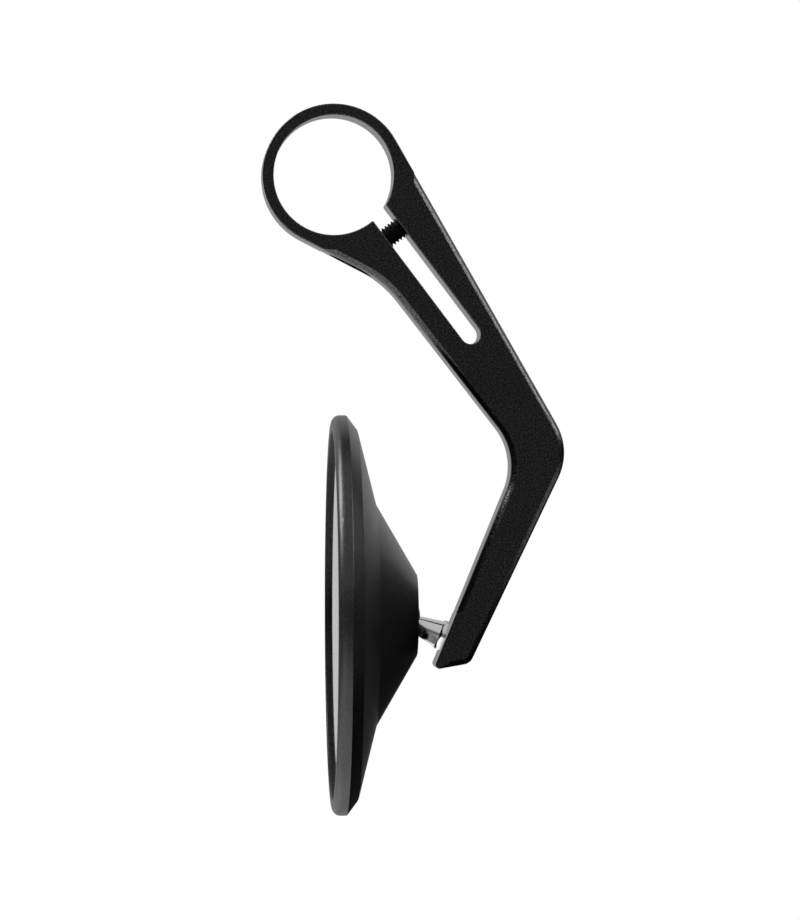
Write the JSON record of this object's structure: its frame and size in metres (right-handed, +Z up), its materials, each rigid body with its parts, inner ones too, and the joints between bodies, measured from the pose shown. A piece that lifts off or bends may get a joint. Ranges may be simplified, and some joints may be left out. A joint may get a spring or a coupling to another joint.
{
  "type": "motorcycle bar end mirror",
  "caption": "Round mirror head on a ball stud, carried by a flat bent arm whose split ring clamps round a handlebar end.",
  "frame": {"origin": "centre of the clamp bore, halfway through the arm's thickness", "axes": "+Y along the clamp bore and the handlebar, +Z up from the mirror towards the clamp ring, +X from the mirror glass towards its back"},
  "size_m": [0.0557, 0.0742, 0.1316],
  "materials": {
    "black_anodised": "fine grained satin black anodising",
    "black_steel": "black oxide",
    "stainless": "bright turned",
    "liner_plastic": "natural acetal",
    "plain_steel": "plain turned",
    "plain_aluminium": "plain turned",
    "pad_rubber": "soft foam",
    "mirror": "silvered glass"
  },
  "bodies": {
    "arm": {"clamp_arm": "black_anodised", "pinch_bolt": "black_steel", "ball_stud": "stainless"},
    "rear_liner": {"rear_ball_liner": "liner_plastic"},
    "front_liner": {"front_ball_liner": "liner_plastic"},
    "mirror_head": {"mirror_housing": "black_anodised", "mirror_glass": "mirror", "glass_pad": "pad_rubber", "adjusting_plug": "plain_aluminium", "disc_spring": "plain_steel", "pressure_cup": "plain_steel"}
  },
  "joints": [
    {"name": "mirror_tilt", "type": "hinge", "parent": "arm", "child": "rear_liner", "pos_m": [0.01114, 0, -0.08139], "axis": [0, 1, 0], "range_deg": [-5, 35]},
    {"name": "mirror_swivel", "type": "hinge", "parent": "rear_liner", "child": "front_liner", "pos_m": [0.01114, 0, -0.08139], "axis": [0, 0, 1], "range_deg": [-20, 20]},
    {"name": "mirror_spin", "type": "hinge", "parent": "front_liner", "child": "mirror_head", "pos_m": [0.01114, 0, -0.08139], "axis": [1, 0, 0], "continuous": true}
  ]
}
